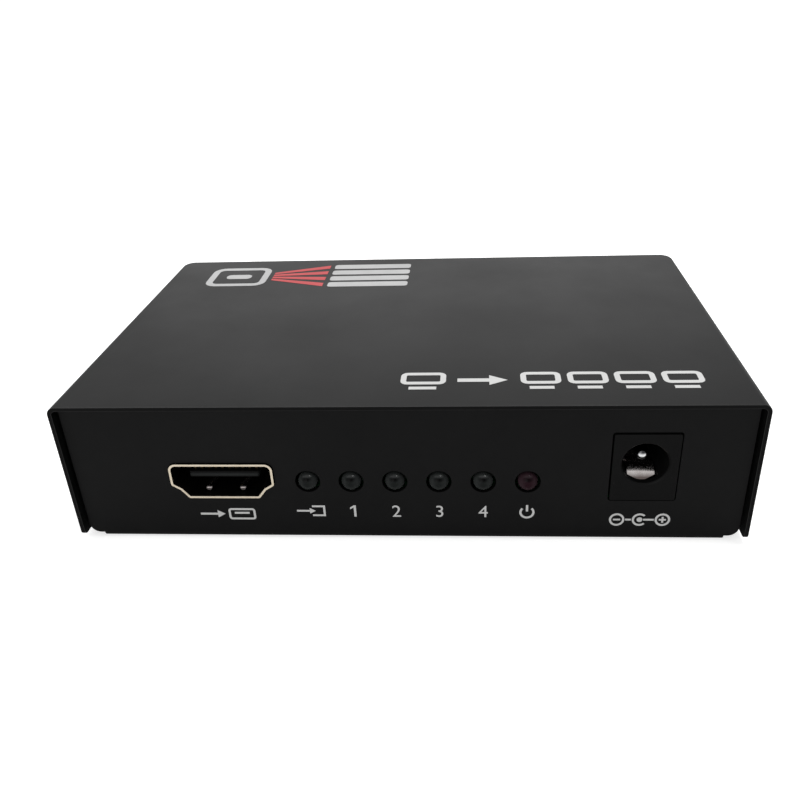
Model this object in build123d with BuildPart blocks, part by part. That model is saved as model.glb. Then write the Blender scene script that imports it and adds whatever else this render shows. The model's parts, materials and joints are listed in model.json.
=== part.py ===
from build123d import *
import os

# A video splitter in a folded steel box: one input and a power jack at the front, four outputs behind.
# Millimetres. X runs to the right along the front panel, Y runs back, Z runs up.
# The origin is the middle of the footprint, on the surface that the splitter stands on.

# Sheet metal box
box_width = 97.0
box_depth = 60.5
box_height = 22.7
cover_sheet = 0.6
cover_bend = 1.2
cover_lift = 1.0
cover_tip_round = 0.8
tray_sheet = 0.8
tray_bend = 1.0
panel_set_back = 0.95
panel_half_width = 47.4
panel_top_gap = 0.2
panel_corner = 1.5
panel_corner_lift = 0.9
base_half_width = 47.0
relief_half_width = 45.4
relief_depth = 1.9
tab_width = 8.0
tab_height = 15.5
tab_offset = 20.0
tab_notch_width = 0.8
tab_notch_depth = 1.4

# Screws and standoffs
screw_radius = 1.47
screw_hole = 1.5
clearance_hole = 1.7
head_radius = 2.6
head_height = 1.3
head_round = 0.6
cross_length = 2.8
cross_width = 0.6
cross_depth = 0.9
level_match = 0.05
cover_screw_length = 4.0
cover_screw_height = 11.5
board_screw_length = 5.0
standoff_height = 4.6
standoff_flats = 5.5
standoff_head = 2.57
standoff_head_hole = 2.6
standoff_floor = 1.6

# Circuit board
board_width = 91.0
board_depth = 56.0
board_thickness = 1.6
board_corner = 1.0
board_slot_gap = 0.15
lead_tail = 1.5
board_screw_places = [(-42.0, -23.0), (42.0, -23.0), (-42.3, 13.0), (42.3, 13.0)]

# Video sockets: the mouth's outline, wide side up, as heights over the surface it stands on
port_top = 13.05
port_shoulder = 9.5
port_neck = 8.73
port_bottom = 7.3
port_half_width = 7.5
port_neck_half_width = 6.26
port_foot_half_width = 5.16
port_top_corner = 1.1
port_corner = 0.5
port_proud = 0.25
port_panel_gap = 0.12
rim_wall = 0.32
rim_depth = 1.0
shell_step = 0.05
shell_depth = 11.0
shell_leg_thickness = 0.25
shell_leg_width = 1.5
shell_leg_depths = (3.6, 9.6)
finger_spread = 2.5
finger_width = 1.0
finger_start = 0.75
finger_peak = 1.45
finger_end = 5.0
finger_rise = 0.65
finger_nose = 0.3
tongue_half_width = 5.1
tongue_middle = 10.4
tongue_thickness = 1.0
tongue_start = 1.5
tongue_edge = 0.2
insulator_start = 7.5
insulator_end = 12.4
insulator_fit = 0.03
contact_upper_count = 10
contact_pitch = 0.5
contact_width = 0.3
contact_thickness = 0.15
contact_start = 2.6
contact_turn = 11.8
contact_foot = 13.4
input_port_x = -26.0
output_port_pitch = 22.0
output_port_count = 4

# Power jack
jack_x = 33.35
jack_axis_height = 12.95
jack_width = 9.0
jack_height = 10.7
jack_left_gap = 0.25
jack_right_gap = 0.15
jack_top_gap = 0.35
jack_bottom_gap = 0.1
jack_cutout_corner = 0.45
jack_inside_gap = 0.15
jack_front_depth = 3.4
jack_edge = 0.3
jack_barrel_radius = 4.2
jack_depth = 14.2
jack_bore_radius = 3.2
jack_bore_depth = 11.2
jack_mouth_chamfer = 0.25
jack_pin_radius = 1.0
jack_pin_start = 2.2
jack_pin_round = 0.9
jack_pin_shank = 0.8
jack_shank_hole = 0.82
jack_slot_width = 4.2
jack_slot_start = 1.2
jack_slot_floor = 0.6
strip = 0.3
pin_plate_width = 3.0
pin_plate_top = 1.5
leaf_width = 3.8
leaf_tip = (1.7, 9.25)
leaf_peak = (3.3, 10.9)
leaf_root = (9.2, 8.6)
leaf_peak_bend = 1.6
leaf_point_width = 1.7
leaf_point_length = 0.6
root_clearance = 0.05
sleeve_plate_width = 2.9
sleeve_leg_depth = 10.3
switch_finger_depth = 6.3
switch_finger_width = 1.2
switch_finger_reach = 1.5
switch_finger_gap = 0.03
switch_leg_x = 4.75

# Lamps
lamp_names = ["led_in", "led_1", "led_2", "led_3", "led_4", "led_power"]
lamp_first_x = -13.65
lamp_pitch = 6.22
lamp_height = 10.05
lamp_hole = 1.8
lamp_radius = 1.4
lamp_proud = 0.9
lamp_body_end = 4.0
lamp_flange_radius = 1.85
lamp_flange_end = 5.0
lamp_lead_pitch = 2.54
lamp_lead_size = 0.45
lamp_lead_inside = 1.6
lamp_lead_bend = 7.0
lamp_lead_hole = 0.45

# Main chip and its heat sink
chip_x = 0.0
chip_y = 0.5
chip_size = 14.0
chip_height = 1.2
chip_stand = 0.1
chip_sides = 4
chip_pins_per_side = 16
chip_pin_pitch = 0.8
chip_pin_width = 0.35
chip_pin_thickness = 0.15
chip_pin_knee = 0.4
chip_pin_heel = 0.6
chip_pin_reach = 1.2
pad_size = 12.0
pad_height = 0.5
sink_size = 20.0
sink_base = 1.5
sink_height = 6.0
sink_fins = 7
sink_fin_thickness = 1.0

# Smaller components: sizes as length, width, height, and places on the board
quarter_turn = 90
crystal_size = (11.0, 4.6, 3.5)
crystal_flange = 0.4
crystal_place = (16.5, 0.5)
regulator_size = (6.5, 3.5, 1.6)
regulator_tab = (3.0, 1.7, 0.3)
regulator_legs = 3
regulator_leg_width = 0.75
regulator_leg_pitch = 2.2
regulator_places = [(23.5, -9.0), (33.0, -9.0)]
inductor_size = (7.0, 7.0, 4.0)
inductor_well_radius = 2.6
inductor_well_depth = 0.6
inductor_place = (24.0, -0.5)
can_radius = 3.15
can_height = 5.4
can_base = (6.6, 6.6, 1.0)
can_groove = 0.35
can_places = [(33.0, -0.6), (36.5, 6.2), (-15.5, -8.0)]
memory_size = (4.9, 3.9, 1.5)
memory_leg = (0.4, 1.0, 0.2)
memory_leg_pitch = 1.27
memory_legs_per_side = 4
memory_front_y = -12.5
memory_rear_y = 13.2
guard_size = (2.5, 1.0, 0.5)
guard_spread = 4.9
resistor_size = (1.6, 0.8, 0.45)
lamp_resistor_y = -19.5
chip_resistor_count = 4
chip_resistor_pitch = 2.2
chip_resistor_first_x = -22.0
chip_resistor_rows = (4.0, 7.0)
capacitor_size = (1.6, 0.8, 0.8)
front_capacitor_count = 7
front_capacitor_pitch = 2.6
front_capacitor_y = -12.0
side_capacitor_count = 6
side_capacitor_pitch = 2.4
side_capacitor_first_x = -36.0
side_capacitor_y = -3.0
diode_size = (4.3, 2.6, 2.2)
diode_place = (41.0, -6.0)
fuse_size = (4.5, 3.2, 0.9)
fuse_place = (42.3, 0.5)

# Places worked out from the sizes above
wall_inner = box_width / 2 - cover_sheet
panel_face = box_depth / 2 - panel_set_back
panel_top = box_height - cover_sheet - panel_top_gap
board_bottom = tray_sheet + standoff_height
board_top = board_bottom + board_thickness
tail_bottom = board_bottom - lead_tail
port_face = panel_face + port_proud
output_port_xs = [
    output_port_pitch * (index - (output_port_count - 1) / 2) for index in range(output_port_count)
]
lamp_xs = [lamp_first_x + lamp_pitch * index for index in range(len(lamp_names))]
chip_top = board_top + chip_stand + chip_height

os.makedirs("parts", exist_ok=True)


def save(piece, name):
    """Name a finished piece and write its file."""
    piece.label = name
    export_step(piece, f"parts/{name}.step")


def mouth_plane(x, side):
    """The plane of a socket's mouth, seen from outside: side is -1 at the front and 1 at the rear."""
    return Plane(origin=(x, side * port_face, 0), x_dir=(-side, 0, 0), z_dir=(0, side, 0))


def depth_plane(x, y, side):
    """A plane whose own x runs into the box from y and whose own y is height."""
    return Plane(origin=(x, y, 0), x_dir=(0, -side, 0), z_dir=(-side, 0, 0))


def screw_planes():
    """The four places where a cover screw's head bears on a side wall, facing outwards."""
    return [
        Plane(
            origin=(side * box_width / 2, end * tab_offset, cover_screw_height),
            x_dir=(0, side, 0),
            z_dir=(side, 0, 0),
        )
        for side in (-1, 1)
        for end in (-1, 1)
    ]


def port_outline(grow):
    """The six-sided outline of a video socket, grown outwards or shrunk inwards."""
    half = [
        (port_half_width, port_top),
        (port_half_width, port_shoulder),
        (port_neck_half_width, port_neck),
        (port_foot_half_width, port_bottom),
    ]
    with BuildSketch() as outline:
        with BuildLine():
            Polyline(*half, *[(-x, z) for x, z in reversed(half)], close=True)
        make_face()
        top_corners = outline.vertices().group_by(Axis.Y)[-1]
        lower_corners = [corner for corner in outline.vertices() if corner not in top_corners]
        fillet(lower_corners, radius=port_corner)
        fillet(outline.vertices().group_by(Axis.Y)[-1], radius=port_top_corner)
        if grow != 0:
            offset(amount=grow, mode=Mode.REPLACE)
    return outline.sketch


front = Plane(origin=(0, -panel_face, 0), x_dir=(1, 0, 0), z_dir=(0, -1, 0))
rim_outline = port_outline(0)
body_outline = port_outline(-shell_step)
inner_outline = port_outline(-rim_wall)
insulator_outline = port_outline(-rim_wall - insulator_fit)
panel_port_outline = port_outline(port_panel_gap)

# Top cover: a roof and two side walls folded from one sheet
with BuildPart() as top_cover:
    with BuildSketch(Plane.XZ):
        with Locations((0, cover_lift)):
            roof = Rectangle(box_width, box_height - cover_lift, align=(Align.CENTER, Align.MIN))
        fillet(roof.vertices().group_by(Axis.Y)[-1], radius=cover_bend)
        with BuildSketch(mode=Mode.SUBTRACT):
            with Locations((0, -cover_lift)):
                hollow = Rectangle(
                    2 * wall_inner,
                    box_height - cover_sheet + cover_lift,
                    align=(Align.CENTER, Align.MIN),
                )
            fillet(hollow.vertices().group_by(Axis.Y)[-1], radius=cover_bend - cover_sheet)
    extrude(amount=box_depth / 2, both=True)
    fillet(
        top_cover.edges().filter_by(Axis.X).group_by(Axis.Z)[0],
        radius=cover_tip_round,
    )
    for plane in screw_planes():
        with BuildSketch(plane):
            Circle(clearance_hole)
        extrude(amount=-2 * cover_sheet, mode=Mode.SUBTRACT)
save(top_cover.part, "top_cover")

# Bottom tray: the base with the front and rear panels folded up, and four screw tabs
with BuildPart() as bottom_tray:
    with BuildSketch(Plane.YZ):
        outer = Rectangle(2 * panel_face, panel_top, align=(Align.CENTER, Align.MIN))
        fillet(outer.vertices().group_by(Axis.Y)[0], radius=tray_bend)
        with BuildSketch(mode=Mode.SUBTRACT):
            with Locations((0, tray_sheet)):
                inside = Rectangle(
                    2 * (panel_face - tray_sheet), panel_top, align=(Align.CENTER, Align.MIN)
                )
            fillet(inside.vertices().group_by(Axis.Y)[0], radius=tray_bend - tray_sheet)
    extrude(amount=relief_half_width, both=True)
    with BuildSketch():
        Rectangle(2 * base_half_width, 2 * (panel_face - relief_depth))
        for end in (-1, 1):
            for edge in (-1, 1):
                notch_y = end * tab_offset + edge * (tab_width + tab_notch_width) / 2
                with Locations((base_half_width, notch_y), (-base_half_width, notch_y)):
                    Rectangle(2 * tab_notch_depth, tab_notch_width, mode=Mode.SUBTRACT)
    extrude(amount=tray_sheet)
    for side in (-1, 1):
        with BuildSketch(Plane.XZ.offset(-side * panel_face)):
            with Locations((0, panel_corner_lift)):
                panel = Rectangle(
                    2 * panel_half_width,
                    panel_top - panel_corner_lift,
                    align=(Align.CENTER, Align.MIN),
                )
            fillet(panel.vertices().group_by(Axis.Y)[0], radius=panel_corner)
            fillet(panel.vertices().group_by(Axis.Y)[-1], radius=cover_bend)
        extrude(amount=side * tray_sheet)
    for end in (-1, 1):
        with BuildSketch(Plane.XZ.offset(-end * tab_offset)):
            for side in (-1, 1):
                with BuildLine():
                    FilletPolyline(
                        (side * (base_half_width - 2 * tray_bend), tray_sheet / 2),
                        (side * (wall_inner - tray_sheet / 2), tray_sheet / 2),
                        (side * (wall_inner - tray_sheet / 2), tab_height),
                        radius=tray_bend - tray_sheet / 2,
                    )
                trace(line_width=tray_sheet)
        extrude(amount=tab_width / 2, both=True)
    for plane in screw_planes():
        with BuildSketch(plane.offset(-cover_sheet)):
            Circle(screw_hole)
        extrude(amount=-2 * tray_sheet, mode=Mode.SUBTRACT)
    with BuildSketch():
        with Locations(*board_screw_places):
            Circle(standoff_head_hole)
    extrude(amount=tray_sheet, mode=Mode.SUBTRACT)
    for x, side in [(input_port_x, -1)] + [(x, 1) for x in output_port_xs]:
        with BuildSketch(mouth_plane(x, side)):
            add(panel_port_outline)
        extrude(amount=-2 * tray_sheet, mode=Mode.SUBTRACT)
    with BuildSketch(front):
        for x in lamp_xs:
            with Locations((x, lamp_height)):
                Circle(lamp_hole)
        with Locations((jack_x - jack_width / 2 - jack_left_gap, board_top - jack_bottom_gap)):
            jack_cutout = Rectangle(
                jack_left_gap + jack_width + jack_right_gap,
                jack_bottom_gap + jack_height + jack_top_gap,
                align=(Align.MIN, Align.MIN),
            )
        fillet(jack_cutout.vertices(), radius=jack_cutout_corner)
    extrude(amount=-tray_sheet, mode=Mode.SUBTRACT)
save(bottom_tray.part, "bottom_tray")


def screw_set(planes, length):
    """Pan-head screws with a cross recess, one for each plane that a head bears on."""
    with BuildPart() as screws:
        for plane in planes:
            with BuildSketch(plane):
                Circle(head_radius)
            extrude(amount=head_height)
        fillet(
            screws.edges().filter_by(GeomType.CIRCLE).filter_by(
                lambda edge: any(
                    abs(plane.to_local_coords(edge.arc_center).Z - head_height) < level_match
                    for plane in planes
                )
            ),
            radius=head_round,
        )
        for plane in planes:
            with BuildSketch(plane):
                Circle(screw_radius)
            extrude(amount=-length)
            with BuildSketch(plane.offset(head_height)):
                Rectangle(cross_length, cross_width)
                Rectangle(cross_width, cross_length)
            extrude(amount=-cross_depth, mode=Mode.SUBTRACT)
    return screws.part


save(screw_set(screw_planes(), cover_screw_length), "cover_screws")
board_screw_planes = [Plane(origin=(x, y, board_top)) for x, y in board_screw_places]
save(screw_set(board_screw_planes, board_screw_length), "board_screws")

# Standoffs pressed into the base: a round head flush with the underside, a hexagon above it
with BuildPart() as board_standoffs:
    with BuildSketch():
        with Locations(*board_screw_places):
            Circle(standoff_head)
    extrude(amount=tray_sheet)
    with BuildSketch(Plane.XY.offset(tray_sheet)):
        with Locations(*board_screw_places):
            RegularPolygon(standoff_flats / 2, 6, major_radius=False)
    extrude(amount=standoff_height)
    with BuildSketch(Plane.XY.offset(board_bottom)):
        with Locations(*board_screw_places):
            Circle(screw_hole)
    extrude(amount=standoff_floor - board_bottom, mode=Mode.SUBTRACT)
save(board_standoffs.part, "board_standoffs")


def port_shell(x, side):
    """The plated steel sleeve of a video socket, with its board legs and two spring fingers."""
    mouth = mouth_plane(x, side)
    with BuildPart() as shell:
        with BuildSketch(mouth):
            add(rim_outline)
        extrude(amount=-rim_depth)
        with BuildSketch(mouth.offset(-rim_depth)):
            add(body_outline)
        extrude(amount=rim_depth - shell_depth)
        with BuildSketch(mouth):
            add(inner_outline)
        extrude(amount=-shell_depth, mode=Mode.SUBTRACT)
        for depth in shell_leg_depths:
            for edge in (-1, 1):
                with BuildSketch(mouth.offset(-depth - shell_leg_width / 2)):
                    with Locations(
                        (
                            edge * (port_half_width - shell_step - shell_leg_thickness / 2),
                            tail_bottom,
                        )
                    ):
                        Rectangle(
                            shell_leg_thickness,
                            port_shoulder + port_corner - tail_bottom,
                            align=(Align.CENTER, Align.MIN),
                        )
                extrude(amount=shell_leg_width)
        floor = port_bottom + rim_wall
        for edge in (-1, 1):
            with BuildSketch(depth_plane(x + edge * finger_spread, side * port_face, side)) as finger:
                with BuildLine():
                    Polyline(
                        (finger_start, floor - shell_step),
                        (finger_start, floor),
                        (finger_peak, floor + finger_rise),
                        (finger_end, floor),
                        (finger_end, floor - shell_step),
                        close=True,
                    )
                make_face()
                fillet(finger.vertices().sort_by(Axis.Y)[-1], radius=finger_nose)
            extrude(amount=finger_width / 2, both=True)
    return shell.part


def port_contacts(x, side):
    """Nineteen plated contacts, alternately over and under the tongue, with feet on the board."""
    mouth = mouth_plane(x, side)
    reach = tongue_thickness / 2
    rows = [
        (contact_upper_count, tongue_middle + reach),
        (contact_upper_count - 1, tongue_middle - reach - contact_thickness),
    ]
    from_bottom = (Align.CENTER, Align.MIN)
    with BuildPart() as contacts:
        for count, level in rows:
            with BuildSketch(mouth.offset(-contact_start)):
                with Locations((0, level)):
                    with GridLocations(2 * contact_pitch, 0, count, 1):
                        Rectangle(contact_width, contact_thickness, align=from_bottom)
            extrude(amount=contact_start - contact_turn - contact_thickness)
            with BuildSketch(mouth.offset(-contact_turn)):
                with Locations((0, board_top)):
                    with GridLocations(2 * contact_pitch, 0, count, 1):
                        Rectangle(
                            contact_width, level + contact_thickness - board_top, align=from_bottom
                        )
            extrude(amount=-contact_thickness)
            with BuildSketch(mouth.offset(-contact_turn)):
                with Locations((0, board_top)):
                    with GridLocations(2 * contact_pitch, 0, count, 1):
                        Rectangle(contact_width, contact_thickness, align=from_bottom)
            extrude(amount=contact_turn - contact_foot)
    return contacts.part


def port_insulator(x, side, contacts):
    """The moulded block at the back of a video socket, and the tongue that the plug goes over."""
    mouth = mouth_plane(x, side)
    with BuildPart() as insulator:
        with BuildSketch(mouth.offset(-tongue_start)):
            with Locations((0, tongue_middle)):
                Rectangle(2 * tongue_half_width, tongue_thickness)
        extrude(amount=tongue_start - insulator_start)
        chamfer(
            insulator.faces().sort_by(Axis.Y)[0 if side < 0 else -1].edges(),
            length=tongue_edge,
        )
        with BuildSketch(mouth.offset(-insulator_start)):
            add(insulator_outline)
        extrude(amount=insulator_start - shell_depth)
        with BuildSketch(mouth.offset(-shell_depth)):
            with Locations((0, board_top)):
                Rectangle(
                    2 * port_foot_half_width,
                    port_top - rim_wall - board_top,
                    align=(Align.CENTER, Align.MIN),
                )
        extrude(amount=shell_depth - insulator_end)
        add(contacts, mode=Mode.SUBTRACT)
    return insulator.part


# Video sockets: the input at the front, the outputs numbered from 1 as seen from the rear
port_places = [("input_port", input_port_x, -1)] + [
    (f"output_port_{number}", x, 1) for number, x in enumerate(reversed(output_port_xs), start=1)
]
for name, x, side in port_places:
    contacts = port_contacts(x, side)
    save(port_shell(x, side), f"{name}_shell")
    save(port_insulator(x, side, contacts), f"{name}_insulator")
    save(contacts, f"{name}_contacts")

# Power jack body: a square front and a round-backed barrel around the bore
jack_side = depth_plane(jack_x, -panel_face, -1)
with BuildPart() as power_jack_body:
    with BuildSketch(front):
        with Locations((jack_x, board_top)):
            block = Rectangle(jack_width, jack_height, align=(Align.CENTER, Align.MIN))
        fillet(block.vertices(), radius=jack_edge)
    extrude(amount=-jack_front_depth)
    with BuildSketch(front.offset(-jack_front_depth)):
        with Locations((jack_x, jack_axis_height)):
            Circle(jack_barrel_radius)
        with Locations((jack_x, board_top)):
            Rectangle(
                2 * jack_barrel_radius,
                jack_axis_height - board_top,
                align=(Align.CENTER, Align.MIN),
            )
    extrude(amount=jack_front_depth - jack_depth)
    with BuildSketch(front):
        with Locations((jack_x, jack_axis_height)):
            Circle(jack_bore_radius)
    extrude(amount=-jack_bore_depth, mode=Mode.SUBTRACT)
    mouth_edge = (
        power_jack_body.edges().filter_by(GeomType.CIRCLE).group_by(Axis.Y)[0].sort_by(SortBy.RADIUS)[-1]
    )
    chamfer(mouth_edge, length=jack_mouth_chamfer)
    with BuildSketch(front.offset(-jack_slot_start)):
        with Locations((jack_x, board_top + jack_slot_floor)):
            Rectangle(
                jack_slot_width,
                jack_axis_height - jack_bore_radius / 2 - board_top - jack_slot_floor,
                align=(Align.CENTER, Align.MIN),
            )
    extrude(amount=jack_slot_start - jack_bore_depth, mode=Mode.SUBTRACT)
    with BuildSketch(front.offset(-jack_bore_depth)):
        with Locations((jack_x, jack_axis_height)):
            Circle(jack_shank_hole)
    extrude(amount=jack_bore_depth - jack_depth, mode=Mode.SUBTRACT)
    with BuildSketch(Plane.XY.offset(board_top)):
        with Locations((jack_x, sleeve_leg_depth - panel_face)):
            Rectangle(sleeve_plate_width + 2 * jack_inside_gap, strip + 2 * jack_inside_gap)
    extrude(amount=jack_slot_floor, mode=Mode.SUBTRACT)
    switch_level = leaf_root[1] + (leaf_peak[1] - leaf_root[1]) * (
        (leaf_root[0] - switch_finger_depth) / (leaf_root[0] - leaf_peak[0])
    )
    switch_bottom = switch_level + strip + switch_finger_gap
    with BuildSketch(Plane.XY.offset(switch_bottom)):
        with Locations((jack_x - jack_barrel_radius, switch_finger_depth - panel_face)):
            Rectangle(2 * jack_barrel_radius, switch_finger_width + 2 * jack_inside_gap)
    extrude(amount=strip + jack_inside_gap, mode=Mode.SUBTRACT)
save(power_jack_body.part, "power_jack_body")

# Centre pin, riveted through the back of the body to its own terminal
with BuildPart() as power_jack_pin:
    with BuildSketch(front.offset(-jack_pin_start)):
        with Locations((jack_x, jack_axis_height)):
            Circle(jack_pin_radius)
    extrude(amount=jack_pin_start - jack_bore_depth)
    fillet(
        power_jack_pin.edges().filter_by(GeomType.CIRCLE).group_by(Axis.Y)[0],
        radius=jack_pin_round,
    )
    with BuildSketch(front.offset(-jack_bore_depth)):
        with Locations((jack_x, jack_axis_height)):
            Circle(jack_pin_shank)
    extrude(amount=jack_bore_depth - jack_depth)
    with BuildSketch(front.offset(-jack_depth)):
        with Locations((jack_x, tail_bottom)):
            plate = Rectangle(
                pin_plate_width,
                jack_axis_height + pin_plate_top - tail_bottom,
                align=(Align.CENTER, Align.MIN),
            )
        fillet(plate.vertices().group_by(Axis.Y)[-1], radius=pin_plate_top / 2)
    extrude(amount=-strip)
save(power_jack_pin.part, "power_jack_pin")

# Sprung leaf that a plug's sleeve presses down; it turns about its root
with BuildPart() as power_jack_leaf:
    with BuildSketch(jack_side):
        with BuildLine():
            FilletPolyline(leaf_tip, leaf_peak, leaf_root, radius=leaf_peak_bend)
        trace(line_width=strip)
    extrude(amount=leaf_width / 2, both=True)
    with BuildSketch(Plane.XY.offset(board_top)):
        point_y = leaf_tip[0] - strip / 2 - panel_face
        for edge in (-1, 1):
            with BuildLine():
                Polyline(
                    (jack_x + edge * leaf_width / 2, point_y),
                    (jack_x + edge * (leaf_width / 2 - leaf_point_width), point_y),
                    (jack_x + edge * leaf_width / 2, point_y + leaf_point_length),
                    close=True,
                )
            make_face()
    extrude(amount=2 * jack_bore_radius, mode=Mode.SUBTRACT)
save(power_jack_leaf.part, "power_jack_leaf")

# Terminal that holds the leaf's root and goes through the board
with BuildPart() as power_jack_sleeve_terminal:
    with BuildSketch(jack_side):
        with BuildLine():
            Polyline(
                (leaf_root[0] + strip / 2 + root_clearance, leaf_root[1]),
                (sleeve_leg_depth, leaf_root[1]),
                (sleeve_leg_depth, tail_bottom),
            )
        trace(line_width=strip)
    extrude(amount=sleeve_plate_width / 2, both=True)
save(power_jack_sleeve_terminal.part, "power_jack_sleeve_terminal")

# Switch terminal: its finger lies over the leaf's edge, so a plug breaks that contact
with BuildPart() as power_jack_switch_terminal:
    finger_middle = switch_bottom + strip / 2
    with BuildSketch(Plane.XZ.offset(panel_face - switch_finger_depth)):
        with BuildLine():
            Polyline(
                (jack_x - switch_finger_reach, finger_middle),
                (jack_x - switch_leg_x, finger_middle),
                (jack_x - switch_leg_x, tail_bottom),
            )
        trace(line_width=strip)
    extrude(amount=switch_finger_width / 2, both=True)
save(power_jack_switch_terminal.part, "power_jack_switch_terminal")

# Lamp leads: two square wires for each lamp, bent down into the board
with BuildPart() as led_leads:
    for x in lamp_xs:
        for edge in (-1, 1):
            with BuildSketch(depth_plane(x + edge * lamp_lead_pitch / 4, -panel_face, -1)):
                with BuildLine():
                    Polyline(
                        (lamp_lead_inside, lamp_height),
                        (lamp_lead_bend, lamp_height),
                        (lamp_lead_bend, tail_bottom),
                    )
                trace(line_width=lamp_lead_size)
            extrude(amount=lamp_lead_size / 2, both=True)
save(led_leads.part, "led_leads")

# Lamps: a domed round lens with a flange behind the panel
for name, x in zip(lamp_names, lamp_xs):
    with BuildPart() as lamp:
        with BuildSketch(depth_plane(x, -panel_face, -1)):
            with BuildLine():
                RadiusArc(
                    (-lamp_proud, lamp_height),
                    (lamp_radius - lamp_proud, lamp_height + lamp_radius),
                    lamp_radius,
                )
                Polyline(
                    (lamp_radius - lamp_proud, lamp_height + lamp_radius),
                    (lamp_body_end, lamp_height + lamp_radius),
                    (lamp_body_end, lamp_height + lamp_flange_radius),
                    (lamp_flange_end, lamp_height + lamp_flange_radius),
                    (lamp_flange_end, lamp_height),
                    (-lamp_proud, lamp_height),
                )
            make_face()
        revolve(axis=Axis((x, 0, lamp_height), (0, 1, 0)))
        add(led_leads.part, mode=Mode.SUBTRACT)
    save(lamp.part, name)

# Circuit board, drilled for the screws and for every lead that goes through it
with BuildPart() as circuit_board:
    with BuildSketch(Plane.XY.offset(board_bottom)):
        RectangleRounded(board_width, board_depth, board_corner)
        with Locations(*board_screw_places):
            Circle(clearance_hole, mode=Mode.SUBTRACT)
        for x in lamp_xs:
            for edge in (-1, 1):
                with Locations((x + edge * lamp_lead_pitch / 4, lamp_lead_bend - panel_face)):
                    Circle(lamp_lead_hole, mode=Mode.SUBTRACT)
        for name, x, side in port_places:
            for depth in shell_leg_depths:
                for edge in (-1, 1):
                    leg_x = x + edge * (port_half_width - shell_step - shell_leg_thickness / 2)
                    with Locations((leg_x, side * (port_face - depth))):
                        Rectangle(
                            shell_leg_thickness + 2 * board_slot_gap,
                            shell_leg_width + 2 * board_slot_gap,
                            mode=Mode.SUBTRACT,
                        )
        for leg_x, depth, width, length in [
            (jack_x, jack_depth + strip / 2, pin_plate_width, strip),
            (jack_x, sleeve_leg_depth, sleeve_plate_width, strip),
            (jack_x - switch_leg_x, switch_finger_depth, strip, switch_finger_width),
        ]:
            with Locations((leg_x, depth - panel_face)):
                Rectangle(
                    width + 2 * board_slot_gap, length + 2 * board_slot_gap, mode=Mode.SUBTRACT
                )
    extrude(amount=board_thickness)
save(circuit_board.part, "circuit_board")

# Main chip: a flat package with gull-wing leads on all its sides
with BuildPart() as splitter_chip_leads:
    for turn in range(chip_sides):
        across = Plane(origin=(chip_x, chip_y, 0)).rotated((0, 0, quarter_turn * turn))
        for index in range(chip_pins_per_side):
            along = chip_pin_pitch * (index - (chip_pins_per_side - 1) / 2)
            pin_plane = Plane(
                origin=across.from_local_coords((0, along, 0)),
                x_dir=across.x_dir,
                z_dir=-across.y_dir,
            )
            with BuildSketch(pin_plane):
                with BuildLine():
                    Polyline(
                        (chip_size / 2, board_top + chip_stand + chip_height / 2),
                        (chip_size / 2 + chip_pin_knee, board_top + chip_stand + chip_height / 2),
                        (chip_size / 2 + chip_pin_heel, board_top + chip_pin_thickness / 2),
                        (chip_size / 2 + chip_pin_reach, board_top + chip_pin_thickness / 2),
                    )
                trace(line_width=chip_pin_thickness)
            extrude(amount=chip_pin_width / 2, both=True)
save(splitter_chip_leads.part, "splitter_chip_leads")

with BuildPart() as splitter_chip:
    with BuildSketch(Plane.XY.offset(board_top + chip_stand)):
        with Locations((chip_x, chip_y)):
            RectangleRounded(chip_size, chip_size, chip_stand)
    extrude(amount=chip_height)
    add(splitter_chip_leads.part, mode=Mode.SUBTRACT)
save(splitter_chip.part, "splitter_chip")

with BuildPart() as thermal_pad:
    with BuildSketch(Plane.XY.offset(chip_top)):
        with Locations((chip_x, chip_y)):
            Rectangle(pad_size, pad_size)
    extrude(amount=pad_height)
save(thermal_pad.part, "thermal_pad")

with BuildPart() as heat_sink:
    with BuildSketch(Plane.XY.offset(chip_top + pad_height)):
        with Locations((chip_x, chip_y)):
            Rectangle(sink_size, sink_size)
    extrude(amount=sink_base)
    with BuildSketch(Plane.XY.offset(chip_top + pad_height + sink_base)):
        with Locations((chip_x, chip_y)):
            with GridLocations((sink_size - sink_fin_thickness) / (sink_fins - 1), 0, sink_fins, 1):
                Rectangle(sink_fin_thickness, sink_size)
    extrude(amount=sink_height - sink_base)
save(heat_sink.part, "heat_sink")


def boxes(places, size):
    """Plain rectangular parts on the board, each place as x, y and turn in degrees."""
    length, width, height = size
    with BuildPart() as group:
        with BuildSketch(Plane.XY.offset(board_top)):
            for x, y, turn in places:
                with Locations(Location((x, y, 0), (0, 0, turn))):
                    Rectangle(length, width)
        extrude(amount=height)
    return group.part


# Clock crystal: a long low can on a thin flange
with BuildPart() as crystal:
    with BuildSketch(Plane.XY.offset(board_top)):
        with Locations(Location((*crystal_place, 0), (0, 0, quarter_turn))):
            SlotOverall(crystal_size[0], crystal_size[1])
    extrude(amount=crystal_flange)
    with BuildSketch(Plane.XY.offset(board_top + crystal_flange)):
        with Locations(Location((*crystal_place, 0), (0, 0, quarter_turn))):
            SlotOverall(crystal_size[0] - crystal_flange, crystal_size[1] - crystal_flange)
    extrude(amount=crystal_size[2] - crystal_flange)
    fillet(crystal.faces().sort_by(Axis.Z)[-1].edges(), radius=crystal_flange)
save(crystal.part, "crystal")

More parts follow.
